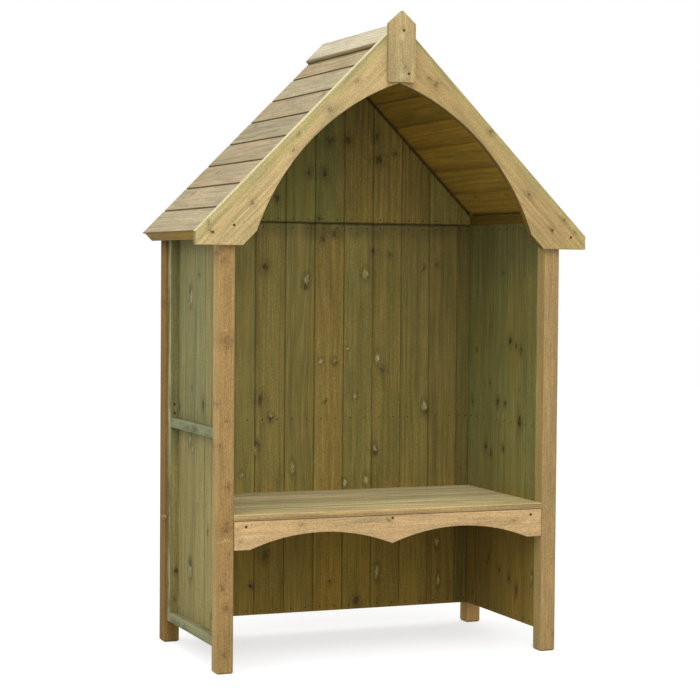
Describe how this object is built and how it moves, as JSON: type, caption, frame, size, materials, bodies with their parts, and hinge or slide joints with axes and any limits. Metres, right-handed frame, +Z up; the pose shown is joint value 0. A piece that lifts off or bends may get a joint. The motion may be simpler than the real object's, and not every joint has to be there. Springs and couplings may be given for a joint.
{
  "type": "arbour seat",
  "caption": "Timber garden arbour: boarded walls and gable, steep boarded roof with arched bargeboards, and a bench seat with a shaped apron.",
  "frame": {"origin": "middle of the object's outline at ground level, under the feet", "axes": "+X to the right of someone facing the seat, front faces -Y, +Z up"},
  "size_m": [1.25, 0.646, 1.9296],
  "materials": {
    "posts": "pressure-treated softwood",
    "side_frame": "pressure-treated softwood",
    "wall_boards": "pressure-treated softwood",
    "back_boards": "pressure-treated softwood",
    "roof_boards": "pressure-treated softwood",
    "ridge_caps": "pressure-treated softwood",
    "bargeboards": "pressure-treated softwood",
    "finial": "pressure-treated softwood",
    "seat_boards": "pressure-treated softwood",
    "apron": "pressure-treated softwood",
    "fixings": "dull plated"
  },
  "bodies": {
    "root": {"apron": "apron", "back_boards": "back_boards", "back_bottom_rail": "side_frame", "back_left_stile": "side_frame", "back_mid_rail": "side_frame", "back_right_stile": "side_frame", "back_top_rail": "side_frame", "bargeboard_left": "bargeboards", "bargeboard_right": "bargeboards", "finial": "finial", "gable_boards": "back_boards", "gable_left_raker": "side_frame", "gable_rail": "side_frame", "gable_right_raker": "side_frame", "left_eaves_rail": "side_frame", "left_front_rafter": "side_frame", "left_wall_plate": "side_frame", "post_front_left": "posts", "post_front_right": "posts", "post_rear_left": "posts", "post_rear_right": "posts", "ridge_cap_left": "ridge_caps", "ridge_cap_right": "ridge_caps", "right_eaves_rail": "side_frame", "right_front_rafter": "side_frame", "right_wall_plate": "side_frame", "roof_left_boards": "roof_boards", "roof_right_boards": "roof_boards", "screws": "fixings", "seat_back_ledger": "seat_boards", "seat_board_1": "seat_boards", "seat_board_2": "seat_boards", "seat_board_3": "seat_boards", "seat_board_4": "seat_boards", "seat_board_5": "seat_boards", "seat_left_bearer": "seat_boards", "seat_middle_bearer": "seat_boards", "seat_right_bearer": "seat_boards", "side_left_board_1": "wall_boards", "side_left_board_2": "wall_boards", "side_left_board_3": "wall_boards", "side_left_board_4": "wall_boards", "side_left_board_5": "wall_boards", "side_left_bottom_rail": "side_frame", "side_left_front_stile": "side_frame", "side_left_mid_rail": "side_frame", "side_left_rear_stile": "side_frame", "side_left_top_rail": "side_frame", "side_right_board_1": "wall_boards", "side_right_board_2": "wall_boards", "side_right_board_3": "wall_boards", "side_right_board_4": "wall_boards", "side_right_board_5": "wall_boards", "side_right_bottom_rail": "side_frame", "side_right_front_stile": "side_frame", "side_right_mid_rail": "side_frame", "side_right_rear_stile": "side_frame", "side_right_top_rail": "side_frame", "wall_nails": "fixings"}
  },
  "joints": []
}
